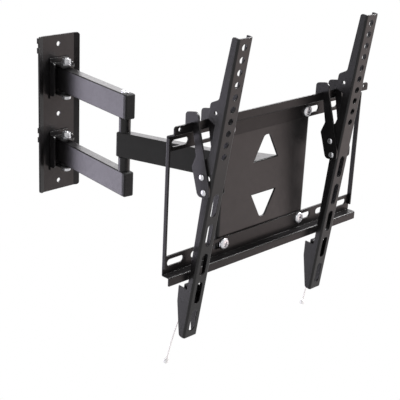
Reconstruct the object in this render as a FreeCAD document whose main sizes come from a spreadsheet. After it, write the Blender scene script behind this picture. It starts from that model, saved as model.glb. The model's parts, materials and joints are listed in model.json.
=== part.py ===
import FreeCAD, Part
import math
import os
import re
import Sketcher

# Full-motion wall bracket for a flat screen, drawn as it stands in the photograph.
# Frame: back of the wall plate at Y = 0, room towards -Y, X along the wall, Z up.
os.makedirs("parts", exist_ok=True)
doc = FreeCAD.newDocument("screen_bracket")
sheet = doc.addObject("Spreadsheet::Sheet", "dims")

SIZES = [
    # wall plate
    ("plate_face_width", 65),
    ("plate_height", 271),
    ("plate_sheet", 3),
    ("wing_width", 11),
    ("wing_angle", 20),
    ("wing_corner", 5),
    ("wall_hole_inset", 15.5),
    ("wall_hole_dia", 8),
    ("tab_reach", 3),
    ("tab_length", 9),
    ("tab_gap", 7),
    ("upper_tabs_inset", 13.5),
    ("lower_tabs_inset", 165.5),
    # wall clevises
    ("arm_spacing", 126.4),
    ("clevis_width", 40),
    ("clevis_height", 69),
    ("clevis_sheet", 3),
    ("clevis_side_depth", 14.2),
    ("clevis_side_height", 57),
    ("clevis_corner", 5),
    ("clevis_bend", 2.5),
    ("shoulder_offset", 21),
    ("ear_radius", 13),
    # pivot bolts
    ("bolt_dia", 8),
    ("nut_flats", 13),
    ("nut_height", 8),
    ("head_height", 5.3),
    ("bolt_proud", 1.5),
    ("washer_dia", 16),
    ("washer_sheet", 1.6),
    ("pivot_clearance", 0.1),
    # arms
    ("tube_height", 40),
    ("tube_width", 18),
    ("tube_wall", 1.5),
    ("tube_corner", 2),
    ("bush_height", 3),
    ("bush_dia", 17),
    ("first_arm_length", 177),
    ("first_arm_turn", 7.26),
    ("second_arm_length", 216.5),
    ("second_arm_turn", 17.7),
    ("shoulder_tail", 11),
    ("elbow_cap_length", 6.5),
    ("second_tail", 8),
    ("second_cap_length", 2.5),
    ("head_overhang", 9),
    ("plug_length", 1.2),
    ("plug_gap", 0.6),
    ("cap_round", 2.4),
    ("post_dia", 18.6),
    ("elbow_washer_sheet", 1.5),
    ("elbow_head_dia", 14),
    ("elbow_head_height", 3),
    ("elbow_dome", 2),
    ("elbow_socket_flats", 5),
    ("elbow_socket_depth", 1.8),
    ("weld_nut_height", 6.5),
    # centre plate
    ("centre_width", 187),
    ("centre_height", 192),
    ("centre_sheet", 3),
    ("centre_flange_depth", 12),
    ("centre_bend", 5),
    ("head_offset", 26.8),
    ("window_base", 52),
    ("window_top", 11),
    ("window_rise", 37),
    ("window_round", 6),
    ("head_ear_radius", 10.5),
    ("ear_fold", 2.5),
    # rail frame
    ("rail_length", 409),
    ("frame_shift", 3.5),
    ("frame_sheet", 2.5),
    ("rail_inner_edge", 75),
    ("rail_top_level", 95.5),
    ("top_shelf_level", 100.9),
    ("bottom_shelf_level", 100.6),
    ("lip_reach", 14),
    ("lip_height", 12.2),
    ("lip_corner", 4),
    ("side_flange_reach", 4.5),
    ("side_flange_top", 95),
    ("side_flange_bottom", 91),
    ("fold_radius", 2.2),
    ("frame_slot_length", 31),
    ("frame_slot_width", 10),
    ("frame_slot_level", 85.2),
    ("frame_slot_first", 90.6),
    ("frame_slot_pitch", 45),
    ("lip_hole_dia", 5.5),
    ("lip_hole_inset", 9),
    # frame screws
    ("screw_spread", 164.5),
    ("screw_dia", 6),
    ("screw_head_dia", 17),
    ("screw_head_height", 5),
    ("screw_dome", 3.5),
    ("screw_nut_flats", 10),
    ("screw_nut_height", 5),
    ("recess_width", 8),
    ("recess_slit", 1.8),
    ("recess_depth", 2),
    # hook plates
    ("left_position", -109.1),
    ("right_position", 159),
    ("hook_sheet", 2.5),
    ("hook_gap", 0.2),
    ("hook_clearance", 0.6),
    ("hook_rear", 15),
    ("hook_front", 9.5),
    ("hook_rise", 12.2),
    ("hook_crown", 5),
    ("hook_tongue", 8),
    ("hook_rear_round", 6),
    ("hook_front_round", 8),
    ("stem_width", 11.5),
    ("stem_drop", 44),
    ("stem_lean", 11.5),
    ("stem_knee", 4),
    ("hook_foot_round", 7),
    ("hook_foot_drop", 7.5),
    ("hook_foot_front", 9.5),
    ("hook_foot_rear", 11.5),
    ("bulge_reach", 24),
    ("bulge_drop", 60),
    ("bulge_height", 10),
    ("bulge_taper", 3.5),
    # tilt pivot and rivets
    ("pivot_ahead", 24.7),
    ("pivot_below", 90.4),
    ("left_tilt", 9.4),
    ("right_tilt", 7.5),
    ("guide_radius", 20.9),
    ("guide_angle", 13.4),
    ("guide_play", 0.5),
    ("guide_travel", 26.5),
    ("rivet_dia", 6),
    ("rivet_head_dia", 8.6),
    ("rivet_head_height", 1.8),
    ("rivet_dome", 1.3),
    ("rivet_clearance", 0.1),
    # screen channel
    ("channel_length", 447),
    ("channel_width", 26),
    ("channel_sheet", 2),
    ("channel_bend", 3),
    ("pivot_from_end", 230),
    ("pivot_depth", 10),
    ("flange_top_depth", 11.6),
    ("flange_swell", 3.4),
    ("far_flange_depth", 10),
    ("far_flange_step", 8),
    ("flange_mid_depth", 14.2),
    ("flange_low_depth", 13.6),
    ("lobe_start", 131),
    ("lobe_top", 122),
    ("lobe_bottom", 100),
    ("lobe_depth", 28),
    ("lobe_taper", 4),
    ("lobe_round", 6),
    ("guide_lobe_start", 51),
    ("guide_lobe_end", 9),
    ("guide_lobe_depth", 25),
    ("guide_lobe_taper", 13),
    ("fin_length", 77),
    ("fin_taper", 2),
    ("fin_root_depth", 10.2),
    ("fin_depth", 27),
    ("fin_shoulder_rise", 51),
    ("fin_shoulder_depth", 24.6),
    ("fin_end_depth", 10.2),
    ("flange_corner", 4),
    ("lobe_hole_dia", 5),
    ("lobe_hole_level", 112),
    ("lobe_hole_depth", 16.4),
    ("vesa_hole_dia", 9.2),
    ("vesa_hole_first", 12),
    ("vesa_hole_pitch", 16.8),
    ("vesa_slot_length", 35),
    ("vesa_slot_width", 10.5),
    ("vesa_slot_last", 27.5),
    ("vesa_slot_pitch", 46),
    # latch, cord and knob
    ("latch_pin_rise", 58),
    ("latch_pin_depth", 15.8),
    ("latch_pin_dia", 5),
    ("latch_width", 18),
    ("latch_nose_rise", 81),
    ("latch_tail_rise", 35),
    ("latch_body", 9),
    ("latch_nose_width", 6),
    ("latch_round", 1.5),
    ("cord_dia", 2),
    ("cord_side", 7),
    ("knob_dia", 7),
    ("knob_length", 7),
    ("knob_round", 1.5),
]

VESA_HOLES = 10
VESA_SLOTS = 5
FRAME_SLOTS = 3

for row, (alias, number) in enumerate(SIZES, 1):
    sheet.set("A%d" % row, alias)
    sheet.set("B%d" % row, str(number))
    sheet.setAlias("B%d" % row, alias)
doc.recompute()
ALIASES = set(alias for alias, number in SIZES)
VALUE = dict((alias, float(sheet.get(alias))) for alias in ALIASES)


# Expressions

def sized(text):
    """The expression with every size read from the sheet."""
    return re.sub(r"[a-z_]+", lambda word: ("dims." if word[0] in ALIASES else "") + word[0], text)


def bind(item, path, text):
    item.setExpression(path, sized(text))


def place(item, x="0", y="0", z="0", axis=None, angle="0"):
    """Binds the place of an item, and its turn about one axis."""
    if axis is not None:
        turn = FreeCAD.Rotation(FreeCAD.Vector(*axis), 10)
        item.Placement = FreeCAD.Placement(FreeCAD.Vector(0, 0, 0), turn)
        bind(item, "Placement.Rotation.Angle", angle)
    bind(item, "Placement.Base.x", x)
    bind(item, "Placement.Base.y", y)
    bind(item, "Placement.Base.z", z)


# Levels and pivots that several pieces share

SHOULDER_Y = "(-plate_sheet - shoulder_offset)"
ELBOW_X = "(-sin(first_arm_turn) * first_arm_length)"
ELBOW_Y = "(%s - cos(first_arm_turn) * first_arm_length)" % SHOULDER_Y
HEAD_X = "(%s + sin(second_arm_turn) * second_arm_length)" % ELBOW_X
HEAD_Y = "(%s - cos(second_arm_turn) * second_arm_length)" % ELBOW_Y
EAR_INNER = "(tube_height / 2 + bush_height)"
CENTRE_BACK = "(%s - head_offset)" % HEAD_Y
RAIL_BACK = "(%s - centre_sheet)" % CENTRE_BACK
RAIL_FRONT = "(%s - frame_sheet)" % RAIL_BACK
LIP_FRONT = "(%s - lip_reach)" % RAIL_FRONT
LIP_TOP = "(top_shelf_level + lip_height)"
ELBOW_OVERHANG = "(nut_flats / 2 + plug_gap + plug_length)"
TILT_Y = "(%s - pivot_ahead)" % LIP_FRONT
TILT_Z = "(%s - pivot_below)" % LIP_TOP
ARM_LEVELS = (("upper", "arm_spacing / 2"), ("lower", "-arm_spacing / 2"))
SIDES = (("left", "left_position", "left_tilt", -1), ("right", "right_position", "right_tilt", 1))

finished = []


def keep(item, label):
    """Names a finished piece."""
    item.Label = label
    finished.append(item)
    return item


# Sketches and features

def new_body(name):
    return doc.addObject("PartDesign::Body", name)


def new_sketch(body, role, offset=None):
    sketch = body.newObject("Sketcher::SketchObject", body.Name + "_sketch")
    plane = [item for item in body.Origin.OriginFeatures if item.Role == role][0]
    sketch.AttachmentSupport = [(plane, "")]
    sketch.MapMode = "FlatFace"
    if offset is not None:
        bind(sketch, "AttachmentOffset.Base.z", offset)
    return sketch


def fix_point(sketch, line, end, x, y):
    """Binds one end of a line to its two coordinates."""
    for kind, axis, text in (("DistanceX", -2, x), ("DistanceY", -1, y)):
        if text == "0":
            sketch.addConstraint(Sketcher.Constraint("PointOnObject", line, end, axis))
            continue
        point = sketch.getPoint(line, end)
        start = point.x if kind == "DistanceX" else point.y
        index = sketch.addConstraint(Sketcher.Constraint(kind, -1, 1, line, end, start))
        bind(sketch, "Constraints[%d]" % index, text)


def draw_polygon(sketch, corners):
    """A closed outline whose corners are bound to the sheet."""
    count = len(corners)
    ring = []
    for step in range(count):
        turn = 2 * math.pi * (step + 0.37) / count
        ring.append(FreeCAD.Vector(50 * math.cos(turn), 50 * math.sin(turn), 0))
    first = sketch.GeometryCount
    for step in range(count):
        sketch.addGeometry(Part.LineSegment(ring[step], ring[(step + 1) % count]))
    for step in range(count):
        after = first + (step + 1) % count
        sketch.addConstraint(Sketcher.Constraint("Coincident", first + step, 2, after, 1))
    for step, (x, y) in enumerate(corners):
        fix_point(sketch, first + step, 1, x, y)


def draw_circle(sketch, x, y, diameter):
    circle = sketch.addGeometry(Part.Circle(FreeCAD.Vector(7, 9, 0), FreeCAD.Vector(0, 0, 1), 3))
    fix_point(sketch, circle, 3, x, y)
    index = sketch.addConstraint(Sketcher.Constraint("Diameter", circle, 6))
    bind(sketch, "Constraints[%d]" % index, diameter)


def draw_slot(sketch, x, y, length, width, upright=False):
    """A round-ended slot about its centre, along the sketch's x or y."""
    half = "((%s) - (%s)) / 2" % (length, width)
    side = "(%s) / 2" % width
    corners = ((-1, -1), (1, -1), (1, 1), (-1, 1))
    spots = []
    for along, across in corners:
        if upright:
            spots.append(("(%s) - %d * %s" % (x, across, side), "(%s) + %d * (%s)" % (y, along, half)))
        else:
            spots.append(("(%s) + %d * (%s)" % (x, along, half), "(%s) + %d * %s" % (y, across, side)))
    raw = [FreeCAD.Vector(20 * a, 5 * b, 0) for a, b in corners]
    if upright:
        raw = [FreeCAD.Vector(-point.y, point.x, 0) for point in raw]
    lower = sketch.addGeometry(Part.LineSegment(raw[0], raw[1]))
    upper = sketch.addGeometry(Part.LineSegment(raw[2], raw[3]))
    for line, start in ((lower, 0), (upper, 2)):
        fix_point(sketch, line, 1, *spots[start])
        fix_point(sketch, line, 2, *spots[start + 1])
    middles = [(raw[1] + raw[2]) / 2, (raw[3] + raw[0]) / 2]
    ends = ((middles[0], raw[1] - raw[0], lower, upper), (middles[1], raw[0] - raw[1], upper, lower))
    for middle, out, begin, finish in ends:
        tip = middle + out.normalize() * 5
        arc = sketch.addGeometry(Part.Arc(sketch.getPoint(begin, 2), tip, sketch.getPoint(finish, 1)))
        sketch.addConstraint(Sketcher.Constraint("Tangent", begin, 2, arc, 1))
        sketch.addConstraint(Sketcher.Constraint("Coincident", arc, 2, finish, 1))


def pad(body, sketch, length, both=False, back=False):
    feature = body.newObject("PartDesign::Pad", body.Name + "_pad")
    feature.Profile = sketch
    bind(feature, "Length", length)
    feature.Midplane = both
    feature.Reversed = back
    doc.recompute()
    return feature


def pocket(body, sketch, length, both=True, back=False):
    """Cuts a sketch, and stops if it took nothing away."""
    before = body.Tip.Shape.Volume
    feature = body.newObject("PartDesign::Pocket", body.Name + "_pocket")
    feature.Profile = sketch
    bind(feature, "Length", length)
    feature.Midplane = both
    feature.Reversed = back
    doc.recompute()
    if body.Tip.Shape.Volume > before - 0.01:
        raise RuntimeError("nothing cut in " + body.Name)
    return feature


def repeat(body, feature, axis_role, length, count):
    """Copies a feature in a row along one of the body's axes."""
    pattern = body.newObject("PartDesign::LinearPattern", body.Name + "_row")
    pattern.Originals = [feature]
    axis = [item for item in body.Origin.OriginFeatures if item.Role == axis_role][0]
    pattern.Direction = (axis, [""])
    pattern.Reversed = True
    bind(pattern, "Length", length)
    pattern.Occurrences = count
    body.Tip = pattern
    doc.recompute()
    return pattern


def round_edges(body, radius, chosen):
    """Rounds the edges of the body for which chosen(edge) holds."""
    base = body.Tip
    names = ["Edge%d" % step for step, edge in enumerate(base.Shape.Edges, 1) if chosen(edge)]
    if not names:
        raise RuntimeError("no edges to round in " + body.Name)
    feature = body.newObject("PartDesign::Fillet", body.Name + "_round")
    feature.Base = (base, names)
    bind(feature, "Radius", radius)
    doc.recompute()
    return feature


def runs_along(edge, axis):
    """True for a straight edge along an axis, 0 to 2."""
    if len(edge.Vertexes) != 2 or edge.Curve.TypeId != "Part::GeomLine":
        return False
    step = edge.Vertexes[1].Point - edge.Vertexes[0].Point
    return abs(abs(step[axis]) - edge.Length) < 1e-6


def lies_at(edge, **spot):
    """True if the edge's middle has these coordinates."""
    middle = edge.CenterOfMass
    return all(abs(getattr(middle, axis) - level) < 0.01 for axis, level in spot.items())


def cylinder(name, radius, height, x="0", y="0", z="0", axis=None, angle="90"):
    item = doc.addObject("Part::Cylinder", name)
    bind(item, "Radius", radius)
    bind(item, "Height", height)
    place(item, x, y, z, axis, angle)
    return item


def hexagon(name, flats, height, x="0", y="0", z="0"):
    item = doc.addObject("Part::Prism", name)
    item.Polygon = 6
    bind(item, "Circumradius", "(%s) / sqrt(3)" % flats)
    bind(item, "Height", height)
    place(item, x, y, z)
    return item


def box(name, length, width, height, x, y, z):
    item = doc.addObject("Part::Box", name)
    bind(item, "Length", length)
    bind(item, "Width", width)
    bind(item, "Height", height)
    place(item, x, y, z)
    return item


def fuse(name, shapes):
    item = doc.addObject("Part::MultiFuse", name)
    item.Shapes = shapes
    item.Refine = True
    return item


def cut(name, base, tool):
    item = doc.addObject("Part::Cut", name)
    item.Base = base
    item.Tool = tool
    return item


def domed(name, disc, radius):
    """A disc with its far rim rounded."""
    doc.recompute()
    far = disc.Placement.multVec(FreeCAD.Vector(0, 0, disc.Height.Value))
    item = doc.addObject("Part::Fillet", name)
    item.Base = disc
    item.Edges = [(step, VALUE[radius], VALUE[radius]) for step, edge in enumerate(disc.Shape.Edges, 1)
                  if edge.Closed and edge.CenterOfMass.distanceToPoint(far) < 0.01]
    return item


def group(name, items):
    item = doc.addObject("Part::Compound", name)
    item.Links = items
    return item


# Wall plate: flat face with two wings folded forward, screw holes on the centre line

def wall_plate():
    body = new_body("wall_plate")
    half = "plate_face_width / 2"
    tip_x = half + " + cos(wing_angle) * wing_width"
    tip_y = "-sin(wing_angle) * wing_width"
    inner = half + " - plate_sheet * tan(wing_angle / 2)"
    front_x = tip_x + " - plate_sheet * sin(wing_angle)"
    front_y = tip_y + " - plate_sheet * cos(wing_angle)"
    right = [(half, "0"), (tip_x, tip_y), (front_x, front_y), (inner, "-plate_sheet")]
    left = [("-(%s)" % x, y) for x, y in reversed(right)]
    sketch = new_sketch(body, "XY_Plane")
    draw_polygon(sketch, right + left)
    pad(body, sketch, "plate_height", both=True)
    reach = max(point.Point.x for point in body.Tip.Shape.Vertexes) - VALUE["plate_sheet"]
    level = VALUE["plate_height"] / 2
    round_edges(body, "wing_corner", lambda edge: abs(edge.CenterOfMass.x) > reach
                and abs(abs(edge.CenterOfMass.z) - level) < 0.01
                and edge.Length < VALUE["plate_sheet"] + 0.1)
    sketch = new_sketch(body, "XZ_Plane")
    for step in (-1, 0, 1):
        draw_circle(sketch, "0", "%d * (plate_height / 2 - wall_hole_inset)" % step, "wall_hole_dia")
    pocket(body, sketch, "plate_sheet * 4")
    # small tabs on the left wing
    for inset in ("upper_tabs_inset", "lower_tabs_inset"):
        for side in (-1, 1):
            level = "plate_height / 2 - %s + %d * (tab_gap + tab_length) / 2" % (inset, side)
            sketch = new_sketch(body, "XY_Plane", level)
            root = [("-(%s)" % tip_x, tip_y), ("-(%s)" % front_x, front_y)]
            ends = [("-(%s) - tab_reach * cos(wing_angle)" % x, "%s - tab_reach * sin(wing_angle)" % y)
                    for x, y in ((tip_x, tip_y), (front_x, front_y))]
            draw_polygon(sketch, [root[0], root[1], ends[1], ends[0]])
            pad(body, sketch, "tab_length", both=True)
    keep(body, "wall_plate")


# Clevis: pressed bracket with a web, two short side walls and two ears for the pivot bolt

def wall_clevis(name, level):
    body = new_body(name)
    outer = "clevis_width / 2"
    inner = "clevis_width / 2 - clevis_sheet"
    back = "-plate_sheet"
    web = "-plate_sheet - clevis_sheet"
    front = "-plate_sheet - clevis_side_depth"
    right = [(outer, back), (outer, front), (inner, front), (inner, web)]
    left = [("-(%s)" % x, y) for x, y in reversed(right)]
    sketch = new_sketch(body, "XY_Plane")
    draw_polygon(sketch, right + left)
    pad(body, sketch, "clevis_height", both=True)
    round_edges(body, "clevis_bend", lambda edge: runs_along(edge, 2)
                and lies_at(edge, y=-VALUE["plate_sheet"]))
    sketch = new_sketch(body, "YZ_Plane")
    for side in (-1, 1):
        low = "%d * clevis_side_height / 2" % side
        high = "%d * clevis_height" % side
        ahead = "2 * (%s)" % front
        draw_polygon(sketch, [(web, low), (web, high), (ahead, high), (ahead, low)])
    pocket(body, sketch, "clevis_width * 2")
    tip = -VALUE["plate_sheet"] - VALUE["clevis_side_depth"]
    end = VALUE["clevis_side_height"] / 2
    round_edges(body, "clevis_corner", lambda edge: runs_along(edge, 0) and lies_at(edge, y=tip)
                and abs(abs(edge.CenterOfMass.z) - end) < 0.01)
    for side in (-1, 1):
        middle = "%d * (%s + clevis_sheet / 2)" % (side, EAR_INNER)
        sketch = new_sketch(body, "XY_Plane", middle)
        draw_polygon(sketch, [("-ear_radius", web), ("ear_radius", web),
                              ("ear_radius", SHOULDER_Y), ("-ear_radius", SHOULDER_Y)])
        pad(body, sketch, "clevis_sheet", both=True)
        sketch = new_sketch(body, "XY_Plane", middle)
        draw_circle(sketch, "0", SHOULDER_Y, "2 * ear_radius")
        pad(body, sketch, "clevis_sheet", both=True)
    sketch = new_sketch(body, "XY_Plane")
    draw_circle(sketch, "0", SHOULDER_Y, "bolt_dia")
    pocket(body, sketch, "clevis_height * 2")
    place(body, z=level)
    keep(body, name)


# Pivot hardware: one bolt, nut and pair of washers through a clevis

EAR_OUTER = "(%s + clevis_sheet)" % EAR_INNER
HEAD_EAR_OUTER = "(%s + centre_sheet)" % EAR_INNER


def pivot_bolt(name, ear, x, y, level):
    shank = cylinder(name + "_shank", "bolt_dia / 2",
                     "2 * %s + 2 * washer_sheet + nut_height + bolt_proud" % ear,
                     x, y, "%s - %s - washer_sheet" % (level, ear))
    head = hexagon(name + "_head", "nut_flats", "head_height", x, y,
                   "%s - %s - washer_sheet - head_height" % (level, ear))
    return fuse(name, [shank, head])


def pivot_nut(name, ear, x, y, level):
    low = "%s + %s + washer_sheet" % (level, ear)
    blank = hexagon(name + "_blank", "nut_flats", "nut_height", x, y, low)
    bore = cylinder(name + "_bore", "bolt_dia / 2", "nut_height", x, y, low)
    return cut(name, blank, bore)


def ring(name, outside, inside, height, x, y, z):
    blank = cylinder(name + "_blank", outside, height, x, y, z)
    bore = cylinder(name + "_bore", inside, height, x, y, z)
    return cut(name, blank, bore)


def pivot_washers(name, ear, x, y, level):
    return [ring("%s_%d" % (name, step), "washer_dia / 2", "bolt_dia / 2", "washer_sheet", x, y, low)
            for step, low in enumerate(("%s + %s" % (level, ear), "%s - %s - washer_sheet" % (level, ear)))]


# Rectangular tube along -Y from its pivot, with bolt holes through top and bottom

def arm_tube(name, front, rear, holes):
    body = new_body(name)
    sketch = new_sketch(body, "XZ_Plane", "-(%s)" % rear)
    half = "tube_width / 2"
    high = "tube_height / 2"
    draw_polygon(sketch, [("-" + half, "-" + high), (half, "-" + high), (half, high), ("-" + half, high)])
    pad(body, sketch, "(%s) + (%s)" % (front, rear))
    round_edges(body, "tube_corner", lambda edge: runs_along(edge, 1))
    sketch = new_sketch(body, "XZ_Plane", "-(%s)" % rear)
    half = "(tube_width / 2 - tube_wall)"
    high = "(tube_height / 2 - tube_wall)"
    draw_polygon(sketch, [("-" + half, "-" + high), (half, "-" + high), (half, high), ("-" + half, high)])
    pocket(body, sketch, "2 * ((%s) + (%s))" % (front, rear))
    sketch = new_sketch(body, "XY_Plane")
    for y in holes:
        draw_circle(sketch, "0", y, "bolt_dia + 2 * pivot_clearance")
    pocket(body, sketch, "2 * tube_height")
    return body


# Plastic end cap: rounded outer block and a short plug inside the tube

def end_cap(name, face, length, towards):
    """A cap on the tube end at y = face, pointing towards -Y (-1) or +Y (1)."""
    body = new_body(name)
    half = "tube_width / 2"
    high = "tube_height / 2"
    sketch = new_sketch(body, "XZ_Plane", "-(%s)" % face)
    draw_polygon(sketch, [("-" + half, "-" + high), (half, "-" + high), (half, high), ("-" + half, high)])
    pad(body, sketch, length, back=towards > 0)
    far = [edge.CenterOfMass.y for edge in body.Tip.Shape.Edges]
    tip = min(far) if towards < 0 else max(far)
    round_edges(body, "cap_round", lambda edge: runs_along(edge, 1)
                or abs(edge.CenterOfMass.y - tip) < 0.01)
    half = "(tube_width / 2 - tube_wall)"
    high = "(tube_height / 2 - tube_wall)"
    sketch = new_sketch(body, "XZ_Plane", "-(%s)" % face)
    draw_polygon(sketch, [("-" + half, "-" + high), (half, "-" + high), (half, high), ("-" + half, high)])
    pad(body, sketch, "plug_length", back=towards < 0)
    return body


# First arm: two tubes with end caps, posts and pivot bushes, turned at the shoulder

def first_arm():
    caps = []
    bushes = []
    posts = []
    washers = []
    for name, level in ARM_LEVELS:
        tube = arm_tube(name + "_arm_tube", "first_arm_length + " + ELBOW_OVERHANG, "shoulder_tail",
                        ["0", "-first_arm_length"])
        place(tube, "0", SHOULDER_Y, level, (0, 0, 1), "-first_arm_turn")
        keep(tube, name + "_arm_tube")
        cap = end_cap(name + "_arm_cap", "-first_arm_length - " + ELBOW_OVERHANG, "elbow_cap_length", -1)
        place(cap, "0", SHOULDER_Y, level, (0, 0, 1), "-first_arm_turn")
        caps.append(cap)
        for step, low in enumerate(("tube_height / 2", "-tube_height / 2 - bush_height")):
            bushes.append(ring("%s_bush_%d" % (name, step), "bush_dia / 2",
                               "bolt_dia / 2 + pivot_clearance", "bush_height",
                               "0", SHOULDER_Y, "%s + %s" % (level, low)))
    gap = "(arm_spacing / 2 - tube_height)"
    for name, side in (("upper", 1), ("lower", -1)):
        post_low = "-arm_spacing / 2 + tube_height / 2"
        if side > 0:
            post_low = "tube_height / 2 + elbow_washer_sheet"
        posts.append(ring(name + "_post", "post_dia / 2", "bolt_dia / 2", gap + " - elbow_washer_sheet",
                          ELBOW_X, ELBOW_Y, post_low))
        washer_low = "tube_height / 2" if side > 0 else "-tube_height / 2 - elbow_washer_sheet"
        washers.append(ring(name + "_elbow_washer", "post_dia / 2", "bolt_dia / 2", "elbow_washer_sheet",
                            ELBOW_X, ELBOW_Y, washer_low))
    keep(group("arm_end_caps", caps), "arm_end_caps")
    keep(group("shoulder_bushes", bushes), "shoulder_bushes")
    keep(group("elbow_posts", posts), "elbow_posts")
    keep(group("elbow_washers", washers), "elbow_washers")
    # one long bolt through both arms, its weld nut inside the lower tube
    top = "(arm_spacing / 2 + tube_height / 2)"
    shank = cylinder("elbow_shank", "bolt_dia / 2", "2 * " + top, ELBOW_X, ELBOW_Y, "-" + top)
    disc = cylinder("elbow_disc", "elbow_head_dia / 2", "elbow_head_height", ELBOW_X, ELBOW_Y, top)
    head = domed("elbow_head", disc, "elbow_dome")
    socket = hexagon("elbow_socket", "elbow_socket_flats", "elbow_socket_depth", ELBOW_X, ELBOW_Y,
                     top + " + elbow_head_height - elbow_socket_depth")
    keep(cut("elbow_bolt", fuse("elbow_bolt_blank", [shank, head]), socket), "elbow_bolt")
    floor = "-arm_spacing / 2 - tube_height / 2 + tube_wall"
    blank = hexagon("elbow_nut_blank", "nut_flats", "weld_nut_height", ELBOW_X, ELBOW_Y, floor)
    bore = cylinder("elbow_nut_bore", "bolt_dia / 2", "weld_nut_height", ELBOW_X, ELBOW_Y, floor)
    keep(cut("elbow_weld_nut", blank, bore), "elbow_weld_nut")


# Second arm: one tube between the posts, its caps and the head bushes

def second_arm():
    tube = arm_tube("second_arm_tube", "second_arm_length + head_overhang", "second_tail",
                    ["0", "-second_arm_length"])
    place(tube, ELBOW_X, ELBOW_Y, "0", (0, 0, 1), "second_arm_turn")
    keep(tube, "second_arm_tube")
    caps = [end_cap("second_rear_cap", "second_tail", "second_cap_length", 1),
            end_cap("second_front_cap", "-second_arm_length - head_overhang", "second_cap_length", -1)]
    for cap in caps:
        place(cap, ELBOW_X, ELBOW_Y, "0", (0, 0, 1), "second_arm_turn")
    keep(group("second_arm_caps", caps), "second_arm_caps")
    bushes = [ring("head_bush_%d" % step, "bush_dia / 2", "bolt_dia / 2 + pivot_clearance", "bush_height",
                   HEAD_X, HEAD_Y, low)
              for step, low in enumerate(("tube_height / 2", "-tube_height / 2 - bush_height"))]
    keep(group("head_bushes", bushes), "head_bushes")


# Centre plate: side edges folded back, two pivot ears pushed out of triangular windows

def centre_plate():
    body = new_body("centre_plate")
    outer = "centre_width / 2"
    inner = "centre_width / 2 - centre_sheet"
    front = "-head_offset - centre_sheet"
    back = "-head_offset"
    edge_back = "-head_offset - centre_sheet + centre_flange_depth"
    right = [(outer, front), (outer, edge_back), (inner, edge_back), (inner, back)]
    left = [("-(%s)" % x, y) for x, y in reversed(right)]
    sketch = new_sketch(body, "XY_Plane")
    draw_polygon(sketch, right + left)
    pad(body, sketch, "centre_height", both=True)
    level = -VALUE["head_offset"] - VALUE["centre_sheet"]
    round_edges(body, "centre_bend", lambda edge: runs_along(edge, 2) and lies_at(edge, y=level))
    # windows
    for side in (-1, 1):
        low = "%d * (%s + centre_sheet)" % (side, EAR_INNER)
        high = "%d * (%s + centre_sheet + window_rise)" % (side, EAR_INNER)
        sketch = new_sketch(body, "XZ_Plane", "head_offset")
        draw_polygon(sketch, [("-window_base / 2", low), ("window_base / 2", low),
                              ("window_top / 2", high), ("-window_top / 2", high)])
        pocket(body, sketch, "centre_sheet * 4")
    top = VALUE["tube_height"] / 2 + VALUE["bush_height"] + VALUE["centre_sheet"] + VALUE["window_rise"]
    round_edges(body, "window_round", lambda edge: runs_along(edge, 1)
                and abs(abs(edge.CenterOfMass.z) - top) < 0.01
                and abs(edge.CenterOfMass.x) < VALUE["window_base"])
    # ears
    for side in (-1, 1):
        middle = "%d * (%s + centre_sheet / 2)" % (side, EAR_INNER)
        sketch = new_sketch(body, "XY_Plane", middle)
        draw_polygon(sketch, [("-window_base / 2", back), ("window_base / 2", back),
                              ("head_ear_radius", "0"), ("-head_ear_radius", "0")])
        pad(body, sketch, "centre_sheet", both=True)
        sketch = new_sketch(body, "XY_Plane", middle)
        draw_circle(sketch, "0", "0", "2 * head_ear_radius")
        pad(body, sketch, "centre_sheet", both=True)
    fold = VALUE["tube_height"] / 2 + VALUE["bush_height"] + VALUE["centre_sheet"]
    round_edges(body, "ear_fold", lambda edge: runs_along(edge, 0) and lies_at(edge, y=level)
                and abs(abs(edge.CenterOfMass.z) - fold) < 0.01)
    sketch = new_sketch(body, "XY_Plane")
    draw_circle(sketch, "0", "0", "bolt_dia")
    pocket(body, sketch, "centre_height")
    sketch = new_sketch(body, "XZ_Plane", "head_offset")
    for x in (-1, 1):
        for z in (-1, 1):
            draw_circle(sketch, "%d * screw_spread / 2" % x, "%d * frame_slot_level" % z, "screw_dia")
    pocket(body, sketch, "centre_sheet * 4")
    place(body, HEAD_X, HEAD_Y)
    keep(body, "centre_plate")


# Rail frame: one sheet with slotted rails, side flanges and two hanging lips

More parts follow.
